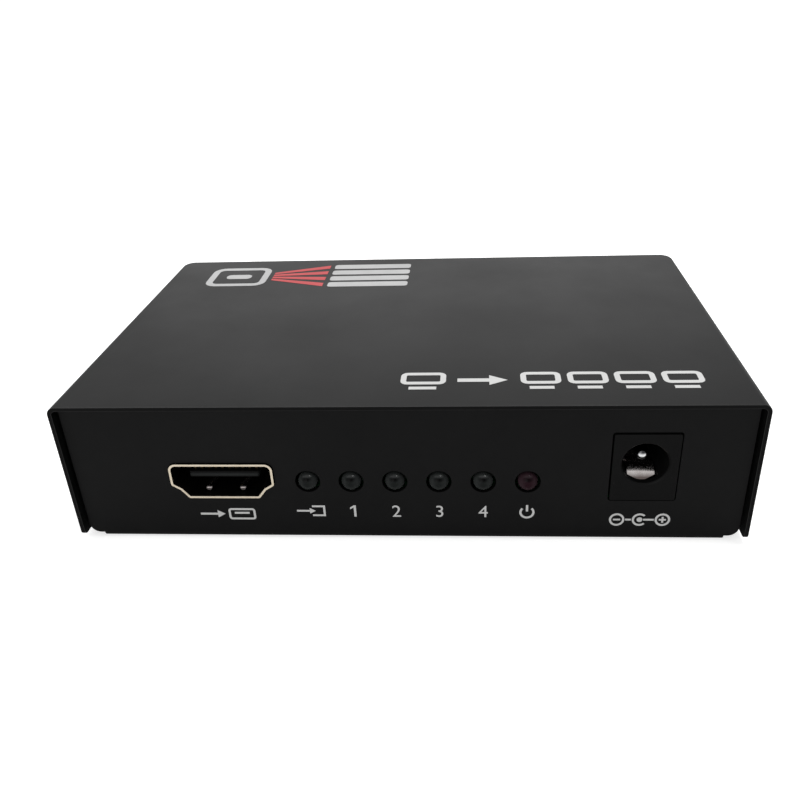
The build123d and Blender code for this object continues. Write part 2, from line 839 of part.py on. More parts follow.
# Voltage regulators: a body, a wide tab on one side and three legs on the other
with BuildPart() as voltage_regulators:
    for x, y in regulator_places:
        with BuildSketch(Plane.XY.offset(board_top)):
            with Locations((x, y)):
                Rectangle(regulator_size[0], regulator_size[1])
        extrude(amount=regulator_size[2])
        with BuildSketch(Plane.XY.offset(board_top)):
            with Locations((x, y + (regulator_size[1] + regulator_tab[1]) / 2)):
                Rectangle(regulator_tab[0], regulator_tab[1])
            with Locations((x, y - (regulator_size[1] + regulator_tab[1]) / 2)):
                with GridLocations(regulator_leg_pitch, 0, regulator_legs, 1):
                    Rectangle(regulator_leg_width, regulator_tab[1])
        extrude(amount=regulator_tab[2])
save(voltage_regulators.part, "voltage_regulators")

# Power inductor: a square ferrite block with a round well in its top
with BuildPart() as power_inductor:
    with BuildSketch(Plane.XY.offset(board_top)):
        with Locations(inductor_place):
            RectangleRounded(inductor_size[0], inductor_size[1], board_corner)
    extrude(amount=inductor_size[2])
    with BuildSketch(Plane.XY.offset(board_top + inductor_size[2])):
        with Locations(inductor_place):
            Circle(inductor_well_radius)
    extrude(amount=-inductor_well_depth, mode=Mode.SUBTRACT)
save(power_inductor.part, "power_inductor")

# Electrolytic capacitors: a grooved can on a square moulded base
save(boxes([(x, y, 0) for x, y in can_places], can_base), "capacitor_bases")
with BuildPart() as capacitor_cans:
    with BuildSketch(Plane.XY.offset(board_top + can_base[2])):
        with Locations(*can_places):
            Circle(can_radius)
    extrude(amount=can_height - can_base[2])
    fillet(capacitor_cans.edges().group_by(Axis.Z)[-1], radius=can_groove)
    with BuildSketch(Plane.XY.offset(board_top + 2 * can_base[2])):
        with Locations(*can_places):
            Circle(can_radius)
            Circle(can_radius - can_groove, mode=Mode.SUBTRACT)
    extrude(amount=can_groove, mode=Mode.SUBTRACT)
save(capacitor_cans.part, "capacitor_cans")

# Memory chips, one behind each video socket: a body with four legs on each side
memory_places = [(input_port_x, memory_front_y)] + [(x, memory_rear_y) for x in output_port_xs]
with BuildPart() as memory_chips:
    for x, y in memory_places:
        with BuildSketch(Plane.XY.offset(board_top)):
            with Locations((x, y)):
                with GridLocations(
                    memory_leg_pitch, memory_size[1] + memory_leg[1], memory_legs_per_side, 2
                ):
                    Rectangle(memory_leg[0], memory_leg[1])
        extrude(amount=memory_leg[2])
        with BuildSketch(Plane.XY.offset(board_top)):
            with Locations((x, y)):
                Rectangle(memory_size[0], memory_size[1])
        extrude(amount=memory_size[2])
save(memory_chips.part, "memory_chips")

# Small parts in rows: surge guards by each socket, resistors and capacitors
guard_places = [(x + edge * guard_spread, y, 0) for x, y in memory_places for edge in (-1, 1)]
resistor_places = [(x, lamp_resistor_y, quarter_turn) for x in lamp_xs]
resistor_places += [
    (chip_resistor_first_x + chip_resistor_pitch * column, y, quarter_turn)
    for y in chip_resistor_rows
    for column in range(chip_resistor_count)
]
capacitor_places = [
    (
        chip_x + front_capacitor_pitch * (column - (front_capacitor_count - 1) / 2),
        front_capacitor_y,
        quarter_turn,
    )
    for column in range(front_capacitor_count)
]
capacitor_places += [
    (side_capacitor_first_x + side_capacitor_pitch * column, side_capacitor_y, quarter_turn)
    for column in range(side_capacitor_count)
]
save(boxes(guard_places, guard_size), "surge_guards")
save(boxes(resistor_places, resistor_size), "chip_resistors")
save(boxes(capacitor_places, capacitor_size), "chip_capacitors")
save(boxes([(*diode_place, quarter_turn)], diode_size), "protection_diode")
save(boxes([(*fuse_place, quarter_turn)], fuse_size), "resettable_fuse")
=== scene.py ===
import json
import math

import bpy
from mathutils import Matrix, Vector

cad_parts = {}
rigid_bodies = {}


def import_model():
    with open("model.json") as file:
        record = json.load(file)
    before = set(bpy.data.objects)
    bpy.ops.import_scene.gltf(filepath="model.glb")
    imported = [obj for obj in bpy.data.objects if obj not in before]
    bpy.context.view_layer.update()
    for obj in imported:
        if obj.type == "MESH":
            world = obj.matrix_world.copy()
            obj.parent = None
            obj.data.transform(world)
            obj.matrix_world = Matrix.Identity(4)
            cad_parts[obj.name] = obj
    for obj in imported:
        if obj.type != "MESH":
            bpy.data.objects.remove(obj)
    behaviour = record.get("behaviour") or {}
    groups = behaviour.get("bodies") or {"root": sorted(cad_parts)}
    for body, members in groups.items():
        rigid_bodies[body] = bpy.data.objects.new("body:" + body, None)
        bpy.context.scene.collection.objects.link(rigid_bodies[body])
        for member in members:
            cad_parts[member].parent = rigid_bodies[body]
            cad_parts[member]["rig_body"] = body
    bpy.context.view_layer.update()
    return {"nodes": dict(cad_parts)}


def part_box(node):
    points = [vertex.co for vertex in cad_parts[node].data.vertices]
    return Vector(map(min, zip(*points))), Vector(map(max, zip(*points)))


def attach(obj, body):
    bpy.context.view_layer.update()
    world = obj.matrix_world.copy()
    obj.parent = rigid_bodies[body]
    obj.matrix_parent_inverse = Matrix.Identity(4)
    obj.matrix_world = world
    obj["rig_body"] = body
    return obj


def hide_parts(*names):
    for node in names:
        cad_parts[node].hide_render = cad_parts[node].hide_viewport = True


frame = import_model()

# Sizes are in metres, and in millimetres only where a comment says so
MM = 0.001

# What the finish adds to the sheets, mouldings and screws
print_thickness = 0.02 * MM
fold_edge = 0.09 * MM
moulding_edge = 0.12 * MM
plate_edge = 0.07 * MM
screw_edge = 0.08 * MM
edge_segments = 2
sharp_angle = math.radians(40)
flat_angle = math.radians(0.5)
sheet_smooth_angle = math.radians(30)
lens_smooth_angle = math.radians(35)
weld_distance = 0.002 * MM
coat_grain_depth = 0.01 * MM
plate_mark_depth = 0.004 * MM
track_height = 0.02 * MM

# The cover's rear corners: how far they are drawn in, and how far down and across that reaches
rear_corner = 1.6 * MM
corner_steps = 6
corner_drop = 5.0 * MM
fold_reach = 4.0 * MM

# Lamps
lamp_radius = 1.4 * MM
lamp_flange_radius = 1.85 * MM
lamp_flange_depth = 1.0 * MM
lamp_pitch = 6.22 * MM

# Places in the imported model
BOX = "splitter_box"
nodes = frame["nodes"]
port_names = ["input_port"] + [f"output_port_{number}" for number in range(1, 5)]
lamp_names = ["led_in", "led_1", "led_2", "led_3", "led_4", "led_power"]
cover_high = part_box("top_cover")[1]
tray_low, tray_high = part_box("bottom_tray")
jack_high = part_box("power_jack_body")[1]
top_z = cover_high.z
front_y = tray_low.y
rear_y = tray_high.y
jack_axis_below_top = 4.75 * MM
jack_axis_z = jack_high.z - jack_axis_below_top
port_floor_below_top = 5.43 * MM
port_floor_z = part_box("input_port_shell")[1].z - port_floor_below_top


def box_middle(node):
    """The middle of a CAD node's box."""
    low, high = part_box(node)
    return (low + high) / 2


def middle_x(node):
    """The middle of a CAD node's box from left to right, in millimetres."""
    low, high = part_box(node)
    return (low.x + high.x) / 2 / MM


def frame_body(node):
    """The body that a CAD node rides on."""
    return nodes[node]["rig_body"]


# Selection and modes

def deselect_all():
    """Leave nothing selected and no mode open."""
    if bpy.context.object and bpy.context.object.mode != "OBJECT":
        bpy.ops.object.mode_set(mode="OBJECT")
    bpy.ops.object.select_all(action="DESELECT")


def activate(piece):
    """Select one piece alone."""
    deselect_all()
    piece.select_set(True)
    bpy.context.view_layer.objects.active = piece


def settle(piece):
    """Put a piece's place into its mesh, so that its object sits at the origin, unturned."""
    activate(piece)
    bpy.ops.object.transform_apply(location=True, rotation=True, scale=True)


def give_materials(piece, *materials):
    """Fill a piece's material slots in order."""
    piece.data.materials.clear()
    for material in materials:
        piece.data.materials.append(material)


# Shared effects, as node groups

def new_group(name, inputs, outputs):
    """An empty node group with its sockets, and its input and output nodes."""
    group = bpy.data.node_groups.new(name, "ShaderNodeTree")
    for label, kind, value in inputs:
        socket = group.interface.new_socket(name=label, in_out="INPUT", socket_type=kind)
        socket.default_value = value
    for label, kind in outputs:
        group.interface.new_socket(name=label, in_out="OUTPUT", socket_type=kind)
    return group, group.nodes.new("NodeGroupInput"), group.nodes.new("NodeGroupOutput")


def noise(tree, vector, scale, detail, roughness=0.5):
    """A noise texture on the piece's own coordinates."""
    texture = tree.nodes.new("ShaderNodeTexNoise")
    texture.inputs["Detail"].default_value = detail
    texture.inputs["Roughness"].default_value = roughness
    if isinstance(scale, (int, float)):
        texture.inputs["Scale"].default_value = scale
    else:
        tree.links.new(scale, texture.inputs["Scale"])
    tree.links.new(vector, texture.inputs["Vector"])
    return texture.outputs["Fac"]


def remap(tree, value, low, high, to_low, to_high):
    """Spread a value from one range to another, clamped. Each end may be a number or a socket."""
    node = tree.nodes.new("ShaderNodeMapRange")
    ends = {"From Min": low, "From Max": high, "To Min": to_low, "To Max": to_high}
    for label, end in ends.items():
        if isinstance(end, (int, float)):
            node.inputs[label].default_value = end
        else:
            tree.links.new(end, node.inputs[label])
    tree.links.new(value, node.inputs["Value"])
    return node.outputs["Result"]


def mix_colour(tree, factor, first, second):
    """Blend two colours. Each may be a socket or four numbers."""
    node = tree.nodes.new("ShaderNodeMix")
    node.data_type = "RGBA"
    for socket, value in ((node.inputs[6], first), (node.inputs[7], second)):
        if isinstance(value, tuple):
            socket.default_value = value
        else:
            tree.links.new(value, socket)
    tree.links.new(factor, node.inputs[0])
    return node.outputs[2]


def compute(tree, operation, first, second=0.0):
    """One Math node. Each side may be a number or a socket, and a root needs the first alone."""
    node = tree.nodes.new("ShaderNodeMath")
    node.operation = operation
    for socket, value in ((node.inputs[0], first), (node.inputs[1], second)):
        if isinstance(value, (int, float)):
            socket.default_value = value
        else:
            tree.links.new(value, socket)
    return node.outputs[0]


def make_coat_group():
    """Powder coat and moulded skin: a fine orange peel, faint mottling and rubbed patches."""
    group, given, result = new_group(
        "coat_texture",
        [
            ("Colour", "NodeSocketColor", (0.02, 0.02, 0.02, 1)),
            ("Rubbed Colour", "NodeSocketColor", (0.04, 0.04, 0.04, 1)),
            ("Grain Scale", "NodeSocketFloat", 4000.0),
            ("Roughness Low", "NodeSocketFloat", 0.4),
            ("Roughness High", "NodeSocketFloat", 0.55),
        ],
        [
            ("Colour", "NodeSocketColor"),
            ("Roughness", "NodeSocketFloat"),
            ("Height", "NodeSocketFloat"),
        ],
    )
    place = group.nodes.new("ShaderNodeTexCoord").outputs["Object"]
    grain = noise(group, place, given.outputs["Grain Scale"], detail=2.0)
    patches = noise(group, place, scale=55.0, detail=5.0, roughness=0.6)
    streaks = noise(group, place, scale=420.0, detail=3.0)
    rubbed = remap(group, patches, low=0.45, high=0.75, to_low=0.0, to_high=0.35)
    speckle = remap(group, streaks, low=0.3, high=0.7, to_low=0.0, to_high=0.2)
    share = compute(group, "ADD", rubbed, speckle)
    colour = mix_colour(group, share, given.outputs["Colour"], given.outputs["Rubbed Colour"])
    roughness = remap(
        group,
        patches,
        low=0.3,
        high=0.7,
        to_low=given.outputs["Roughness Low"],
        to_high=given.outputs["Roughness High"],
    )
    group.links.new(colour, result.inputs["Colour"])
    group.links.new(roughness, result.inputs["Roughness"])
    group.links.new(grain, result.inputs["Height"])
    return group


def make_plate_group():
    """Plated and drawn metal: a slow change of tone, fine drawing marks and tarnish."""
    group, given, result = new_group(
        "plate_texture",
        [
            ("Colour", "NodeSocketColor", (0.8, 0.8, 0.8, 1)),
            ("Tarnish", "NodeSocketColor", (0.5, 0.5, 0.5, 1)),
            ("Tone Scale", "NodeSocketFloat", 700.0),
            ("Roughness Low", "NodeSocketFloat", 0.15),
            ("Roughness High", "NodeSocketFloat", 0.35),
        ],
        [
            ("Colour", "NodeSocketColor"),
            ("Roughness", "NodeSocketFloat"),
            ("Height", "NodeSocketFloat"),
        ],
    )
    place = group.nodes.new("ShaderNodeTexCoord").outputs["Object"]
    stretch = group.nodes.new("ShaderNodeMapping")
    stretch.inputs["Scale"].default_value = (1.0, 0.12, 1.0)
    group.links.new(place, stretch.inputs["Vector"])
    marks = noise(group, stretch.outputs["Vector"], scale=6000.0, detail=3.0)
    tone = noise(group, place, given.outputs["Tone Scale"], detail=4.0)
    share = remap(group, tone, low=0.35, high=0.75, to_low=0.0, to_high=0.6)
    colour = mix_colour(group, share, given.outputs["Colour"], given.outputs["Tarnish"])
    roughness = remap(
        group,
        marks,
        low=0.3,
        high=0.7,
        to_low=given.outputs["Roughness Low"],
        to_high=given.outputs["Roughness High"],
    )
    group.links.new(colour, result.inputs["Colour"])
    group.links.new(roughness, result.inputs["Roughness"])
    group.links.new(marks, result.inputs["Height"])
    return group


def from_spot(tree, across, up, width, height, centre):
    """How far a place on a lamp's face is from a spot, in the spot's half widths and heights."""
    along = compute(tree, "DIVIDE", across, width)
    above = compute(tree, "DIVIDE", compute(tree, "SUBTRACT", up, centre), height)
    along_squared = compute(tree, "MULTIPLY", along, along)
    above_squared = compute(tree, "MULTIPLY", above, above)
    return compute(tree, "SQRT", compute(tree, "ADD", along_squared, above_squared))


def make_lens_group():
    """Tinted epoxy dome: painted light round its edge, a spot of painted shade and a gloss high on
    its face.
    """
    group, given, result = new_group(
        "lens_texture",
        [
            ("Painted Shade Spot", "NodeSocketColor", (0.001, 0.001, 0.001, 1)),
            ("Body", "NodeSocketColor", (0.01, 0.01, 0.01, 1)),
            ("Rim", "NodeSocketColor", (0.02, 0.02, 0.02, 1)),
            ("Gloss", "NodeSocketFloat", 0.3),
        ],
        [
            ("Colour", "NodeSocketColor"),
            ("Roughness", "NodeSocketFloat"),
            ("Gloss", "NodeSocketFloat"),
        ],
    )
    place = group.nodes.new("ShaderNodeTexCoord").outputs["Object"]
    parts = group.nodes.new("ShaderNodeSeparateXYZ")
    group.links.new(place, parts.inputs["Vector"])
    first_lamp = box_middle("led_in")
    # Each lamp's own place across and up its face, in lamp radii
    along_row = compute(group, "SUBTRACT", parts.outputs["X"], first_lamp.x - lamp_pitch / 2)
    along_lamp = compute(group, "FLOORED_MODULO", along_row, lamp_pitch)
    from_middle = compute(group, "SUBTRACT", along_lamp, lamp_pitch / 2)
    across = compute(group, "DIVIDE", from_middle, lamp_radius)
    over_middle = compute(group, "SUBTRACT", parts.outputs["Z"], first_lamp.z)
    up = compute(group, "DIVIDE", over_middle, lamp_radius)
    # Painted light: paler towards the edge, less so at the top and on the right
    from_centre = from_spot(group, across, up, width=1.0, height=1.0, centre=0.0)
    pale = remap(group, from_centre, low=0.2, high=0.85, to_low=0.0, to_high=1.0)
    lower = remap(group, up, low=0.8, high=-0.3, to_low=0.45, to_high=1.0)
    pale = compute(group, "MULTIPLY", pale, lower)
    leftward = remap(group, across, low=-0.6, high=0.9, to_low=1.0, to_high=0.75)
    pale = compute(group, "MULTIPLY", pale, leftward)
    # Painted shade: a dark spot under the gloss
    from_painted_shade_spot = from_spot(group, across, up, width=0.42, height=0.2, centre=0.53)
    painted_shade_spot = remap(group, from_painted_shade_spot, low=0.4, high=1.5, to_low=0.97, to_high=0.0)
    colour = mix_colour(group, pale, given.outputs["Body"], given.outputs["Rim"])
    colour = mix_colour(group, painted_shade_spot, colour, given.outputs["Painted Shade Spot"])
    high_up = remap(group, up, low=0.64, high=0.76, to_low=0.0, to_high=1.0)
    gloss = compute(group, "MULTIPLY", high_up, given.outputs["Gloss"])
    cloud = noise(group, place, scale=1500.0, detail=3.0)
    roughness = remap(group, cloud, low=0.3, high=0.7, to_low=0.2, to_high=0.3)
    group.links.new(colour, result.inputs["Colour"])
    group.links.new(roughness, result.inputs["Roughness"])
    group.links.new(gloss, result.inputs["Gloss"])
    return group


coat_group = make_coat_group()
plate_group = make_plate_group()
lens_group = make_lens_group()


# Materials

def grey(level):
    """A neutral colour."""
    return (level, level, level)


def new_material(name):
    """A material with its Principled shader ready to be set."""
    material = bpy.data.materials.new(name)
    material.use_nodes = True
    return material, material.node_tree, material.node_tree.nodes["Principled BSDF"]


def add_bump(tree, shader, height, distance, strength):
    """Feed a height into the shader's normal."""
    bump = tree.nodes.new("ShaderNodeBump")
    bump.inputs["Distance"].default_value = distance
    bump.inputs["Strength"].default_value = strength
    tree.links.new(height, bump.inputs["Height"])
    tree.links.new(bump.outputs["Normal"], shader.inputs["Normal"])


def shaded(tree, colour, painted_shades):
    """A colour that turns to painted shade with height. A shade is two heights and the second one's
    colour.
    """
    if not painted_shades:
        return colour
    parts = tree.nodes.new("ShaderNodeSeparateXYZ")
    place = tree.nodes.new("ShaderNodeTexCoord").outputs["Object"]
    tree.links.new(place, parts.inputs["Vector"])
    for clear_z, painted_shade_z, painted_shade_colour in painted_shades:
        share = remap(tree, parts.outputs["Z"], clear_z, painted_shade_z, to_low=0.0, to_high=1.0)
        colour = mix_colour(tree, share, colour, (*painted_shade_colour, 1))
    return colour


def coated(name, colour, rubbed, roughness, specular, grain=4000.0, painted_shades=()):
    """A painted or moulded material."""
    material, tree, shader = new_material(name)
    skin = tree.nodes.new("ShaderNodeGroup")
    skin.node_tree = coat_group
    skin.inputs["Colour"].default_value = (*colour, 1)
    skin.inputs["Rubbed Colour"].default_value = (*rubbed, 1)
    skin.inputs["Grain Scale"].default_value = grain
    skin.inputs["Roughness Low"].default_value = roughness[0]
    skin.inputs["Roughness High"].default_value = roughness[1]
    shader.inputs["Specular IOR Level"].default_value = specular
    tree.links.new(shaded(tree, skin.outputs["Colour"], painted_shades), shader.inputs["Base Color"])
    tree.links.new(skin.outputs["Roughness"], shader.inputs["Roughness"])
    add_bump(tree, shader, skin.outputs["Height"], coat_grain_depth, strength=0.3)
    return material


def plated(name, colour, tarnish, roughness, tone=700.0, painted_shades=()):
    """A plated or bare metal."""
    material, tree, shader = new_material(name)
    skin = tree.nodes.new("ShaderNodeGroup")
    skin.node_tree = plate_group
    skin.inputs["Colour"].default_value = (*colour, 1)
    skin.inputs["Tarnish"].default_value = (*tarnish, 1)
    skin.inputs["Tone Scale"].default_value = tone
    skin.inputs["Roughness Low"].default_value = roughness[0]
    skin.inputs["Roughness High"].default_value = roughness[1]
    shader.inputs["Metallic"].default_value = 1.0
    tree.links.new(shaded(tree, skin.outputs["Colour"], painted_shades), shader.inputs["Base Color"])
    tree.links.new(skin.outputs["Roughness"], shader.inputs["Roughness"])
    add_bump(tree, shader, skin.outputs["Height"], plate_mark_depth, strength=0.2)
    return material


def lens(name, painted_shade_spot, body, rim, gloss):
    """Tinted epoxy, unlit, with painted light round its rim and a spot of painted shade."""
    material, tree, shader = new_material(name)
    skin = tree.nodes.new("ShaderNodeGroup")
    skin.node_tree = lens_group
    skin.inputs["Painted Shade Spot"].default_value = (*painted_shade_spot, 1)
    skin.inputs["Body"].default_value = (*body, 1)
    skin.inputs["Rim"].default_value = (*rim, 1)
    skin.inputs["Gloss"].default_value = gloss
    shader.inputs["Specular IOR Level"].default_value = 0.03
    shader.inputs["Coat Roughness"].default_value = 0.22
    tree.links.new(skin.outputs["Colour"], shader.inputs["Base Color"])
    tree.links.new(skin.outputs["Roughness"], shader.inputs["Roughness"])
    tree.links.new(skin.outputs["Gloss"], shader.inputs["Coat Weight"])
    return material


def laminate(name):
    """Green solder mask over faint copper tracks."""
    material, tree, shader = new_material(name)
    place = tree.nodes.new("ShaderNodeTexCoord").outputs["Object"]
    tracks = tree.nodes.new("ShaderNodeTexBrick")
    tracks.inputs["Scale"].default_value = 260.0
    tracks.inputs["Mortar Size"].default_value = 0.06
    tracks.inputs["Color1"].default_value = (0.008, 0.075, 0.022, 1)
    tracks.inputs["Color2"].default_value = (0.01, 0.085, 0.026, 1)
    tracks.inputs["Mortar"].default_value = (0.02, 0.14, 0.045, 1)
    tree.links.new(place, tracks.inputs["Vector"])
    cloud = noise(tree, place, scale=120.0, detail=4.0)
    roughness = remap(tree, cloud, low=0.3, high=0.7, to_low=0.28, to_high=0.42)
    tree.links.new(tracks.outputs["Color"], shader.inputs["Base Color"])
    tree.links.new(roughness, shader.inputs["Roughness"])
    add_bump(tree, shader, tracks.outputs["Fac"], track_height, strength=0.4)
    return material


# Paints, mouldings and inks: colour, rubbed colour, lowest and highest roughness
black_paint = coated(
    "black_paint", (0.0034, 0.0034, 0.0035), grey(0.006), (0.38, 0.46), specular=0.085
)
fold_line = coated(
    "paint_on_folds", grey(0.008), (0.016, 0.016, 0.015), (0.32, 0.45), specular=0.3
)
# Painted shade: a darker paint for the cover's cut edges and the tray's rounded edges
edge_painted_shade = coated(
    "painted_shade_on_edges", (0.0028, 0.0028, 0.0029), grey(0.005), (0.45, 0.55), specular=0.06
)
black_oxide = coated(
    "black_oxide", grey(0.006), grey(0.02), (0.3, 0.45), specular=0.3, grain=2500.0
)
black_moulding = coated(
    "black_moulding", grey(0.003), grey(0.005), (0.35, 0.5), specular=0.065, grain=6000.0
)
tongue_painted_shade = grey(0.001)
tongue_moulding = coated(
    "tongue_moulding",
    (0.012, 0.0135, 0.0135),
    (0.026, 0.0275, 0.027),
    (0.45, 0.6),
    specular=0.1,
    grain=6000.0,
    # Painted shade on the tongue's face, towards its top and bottom edges
    painted_shades=[
        (port_floor_z + 2.8 * MM, port_floor_z + 3.2 * MM, tongue_painted_shade),
        (port_floor_z + 2.72 * MM, port_floor_z + 2.42 * MM, tongue_painted_shade),
    ],
)
# Painted reflection: a matt grey in place of the plating on the lower face of each finger's tip
finger_tip_painted_reflection = coated(
    "finger_tip_painted_reflection",
    (0.1, 0.088, 0.085),
    (0.16, 0.145, 0.14),
    (0.4, 0.55),
    specular=0.2,
    grain=6000.0,
)
chip_epoxy = coated(
    "chip_epoxy", (0.018, 0.018, 0.02), (0.03, 0.03, 0.032), (0.5, 0.65), specular=0.4, grain=9000.0
)
silicone = coated(
    "grey_silicone", (0.3, 0.32, 0.34), (0.36, 0.38, 0.4), (0.7, 0.85), specular=0.3
)
ferrite = coated(
    "ferrite", (0.05, 0.05, 0.053), (0.08, 0.08, 0.082), (0.55, 0.7), specular=0.4, grain=5000.0
)
ceramic = coated("ceramic_chip", (0.3, 0.24, 0.17), (0.4, 0.35, 0.28), (0.4, 0.6), specular=0.5)
white_ink = coated(
    "white_ink", (0.59, 0.59, 0.585), (0.5, 0.5, 0.49), (0.5, 0.65), specular=0.3, grain=9000.0
)
# Painted shade: a darker copy of the white ink, for the signs on the front and rear panels
label_ink_painted_shade = coated(
    "label_ink_painted_shade", (0.5, 0.5, 0.495), (0.42, 0.42, 0.41), (0.5, 0.65), specular=0.3, grain=9000.0
)
silver_ink = coated(
    "silver_ink", grey(0.46), grey(0.35), (0.45, 0.6), specular=0.3, grain=5000.0
)
red_ink = coated(
    "red_ink", (0.5, 0.06, 0.065), (0.42, 0.05, 0.055), (0.5, 0.65), specular=0.3, grain=9000.0
)

# Plated and bare metals: colour, tarnish, lowest and highest roughness
# Painted shade: the sleeves' plating inside, past the rim
sleeve_painted_shade = plated("sleeve_painted_shade", (0.012, 0.011, 0.009), (0.006, 0.006, 0.005), (0.4, 0.6))
gold_rim = plated("gold_rim", (0.78, 0.69, 0.55), (0.68, 0.59, 0.45), (0.22, 0.36))
gold_contact = plated("gold_contact", (0.45, 0.32, 0.14), (0.3, 0.21, 0.09), (0.25, 0.4))
finger_plate = plated(
    "finger_plate", (0.26, 0.235, 0.23), (0.18, 0.165, 0.16), (0.2, 0.32), tone=2500.0
)
bright_plate = plated(
    "bright_plate", (0.5, 0.475, 0.465), (0.34, 0.3, 0.29), (0.2, 0.34), tone=1600.0
)
pin_plate = plated(
    "pin_plate",
    (0.95, 0.955, 0.96),
    (0.5, 0.5, 0.51),
    (0.1, 0.18),
    tone=2600.0,
    # Painted shade on the pin's nose, above and below its bright band
    painted_shades=[
        (jack_axis_z + 0.12 * MM, jack_axis_z + 0.4 * MM, (0.04, 0.04, 0.042)),
        (jack_axis_z - 0.12 * MM, jack_axis_z - 0.3 * MM, (0.012, 0.012, 0.013)),
    ],
)
leaf_plate = plated(
    "leaf_plate",
    (0.96, 0.92, 0.905),
    (0.5, 0.455, 0.44),
    (0.18, 0.3),
    tone=1100.0,
    # Painted shade on the leaf, darker low down
    painted_shades=[(jack_axis_z - 2.25 * MM, jack_axis_z - 3.35 * MM, (0.11, 0.09, 0.085))],
)
tinned = plated("tinned_wire", (0.7, 0.7, 0.68), (0.5, 0.5, 0.48), (0.25, 0.45))
zinc = plated("zinc_plate", (0.55, 0.56, 0.56), (0.4, 0.4, 0.38), (0.3, 0.5))
aluminium = plated("drawn_aluminium", (0.75, 0.75, 0.76), grey(0.6), (0.25, 0.4))
anodised = plated("black_anodised", (0.03, 0.03, 0.032), grey(0.05), (0.35, 0.5))

# Lenses: colour at the spot of painted shade, over the body and in the painted light round the rim
green_lens = lens(
    "green_lens",
    (0.0005, 0.0006, 0.0006),
    (0.0098, 0.0112, 0.0108),
    (0.0305, 0.033, 0.0325),
    gloss=0.5,
)
red_lens = lens(
    "red_lens",
    (0.003, 0.0008, 0.0015),
    (0.0145, 0.005, 0.0078),
    (0.036, 0.022, 0.0265),
    gloss=0.2,
)
board_laminate = laminate("green_laminate")

node_materials = {
    "board_screws": zinc,
    "board_standoffs": zinc,
    "circuit_board": board_laminate,
    "power_jack_pin": pin_plate,
    "power_jack_leaf": leaf_plate,
    "power_jack_sleeve_terminal": bright_plate,
    "power_jack_switch_terminal": bright_plate,
    "led_leads": tinned,
    "splitter_chip": chip_epoxy,
    "splitter_chip_leads": tinned,
    "thermal_pad": silicone,
    "heat_sink": anodised,
    "crystal": bright_plate,
    "voltage_regulators": chip_epoxy,
    "power_inductor": ferrite,
    "capacitor_bases": black_moulding,
    "capacitor_cans": aluminium,
    "memory_chips": chip_epoxy,
    "surge_guards": chip_epoxy,
    "chip_resistors": ceramic,
    "chip_capacitors": ceramic,
    "protection_diode": chip_epoxy,
    "resettable_fuse": ceramic,
}
for port in port_names:
    node_materials[f"{port}_insulator"] = tongue_moulding
    node_materials[f"{port}_contacts"] = gold_contact
for node, material in node_materials.items():
    give_materials(nodes[node], material)


# Dressed sheet metal, mouldings and screws

def dressed(node, name, edge, materials, edge_slot=-1):
    """A merged copy of a CAD node with its sharp edges rounded, riding in the node's place."""
    piece = bpy.data.objects.new(name, nodes[node].data.copy())
    bpy.context.scene.collection.objects.link(piece)
    give_materials(piece, *materials)
    activate(piece)
    bpy.ops.object.mode_set(mode="EDIT")
    bpy.ops.mesh.customdata_custom_splitnormals_clear()
    bpy.ops.mesh.select_all(action="SELECT")
    bpy.ops.mesh.remove_doubles(threshold=weld_distance)
    bpy.ops.mesh.dissolve_limited(angle_limit=flat_angle)
    bpy.ops.object.mode_set(mode="OBJECT")
    rounding = piece.modifiers.new("edge", "BEVEL")
    rounding.width = edge
    rounding.segments = edge_segments
    rounding.limit_method = "ANGLE"
    rounding.angle_limit = sharp_angle
    rounding.material = edge_slot
    rounding.use_clamp_overlap = True
    bpy.ops.object.modifier_apply(modifier=rounding.name)
    bpy.ops.object.shade_smooth_by_angle(angle=sheet_smooth_angle)
    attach(piece, frame_body(node))
    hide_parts(node)
    return piece


def even_normals(piece):
    """Keep the shading of a finished sheet or moulding flat right up to its rounded edges."""
    activate(piece)
    even = piece.modifiers.new("even", "WEIGHTED_NORMAL")
    even.weight = 100
    even.keep_sharp = True
    bpy.ops.object.modifier_apply(modifier=even.name)


def round_rear_corners(sheet):
    """Draw the cover's folds in over the last of their run, so that the rear corners end round."""
    activate(sheet)
    bpy.ops.object.mode_set(mode="EDIT")
    for step in range(1, corner_steps + 1):
        depth = rear_corner * (1 - math.sin(math.radians(90) * step / corner_steps))
        cut_y = cover_high.y - depth - fold_edge
        bpy.ops.mesh.select_all(action="SELECT")
        bpy.ops.mesh.bisect(plane_co=(0, cut_y, 0), plane_no=(0, 1, 0), threshold=weld_distance)
    bpy.ops.object.mode_set(mode="OBJECT")
    start_y = cover_high.y - rear_corner
    for vertex in sheet.data.vertices:
        share = min(1.0, (vertex.co.y - start_y) / rear_corner)
        low_share = min(1.0, (top_z - vertex.co.z) / corner_drop)
        if share > 0 and low_share < 1 and abs(vertex.co.x) > cover_high.x - fold_reach:
            full_draw = rear_corner * (1 - math.sqrt(1 - share * share))
            draw = full_draw * (1 + math.cos(math.pi * low_share)) / 2
            vertex.co.x -= math.copysign(draw, vertex.co.x)


def lower_top(sheet):
    """Sink the top by the ink's thickness, so that the signs stay within the part's height."""
    for vertex in sheet.data.vertices:
        if vertex.co.z > top_z - print_thickness / 2:
            vertex.co.z = top_z - print_thickness


def paint_cut_edges(sheet):
    """Give the plain faces that look to the front or the rear a darker paint, as painted shade on
    the cut edges.
    """
    for face in sheet.data.polygons:
        if face.material_index == 0 and abs(face.normal.y) > 0.9:
            face.material_index = 2


cover = dressed(
    "top_cover",
    "painted_cover",
    fold_edge,
    [black_paint, fold_line, edge_painted_shade],
    edge_slot=1,
)
round_rear_corners(cover)
lower_top(cover)
paint_cut_edges(cover)
even_normals(cover)
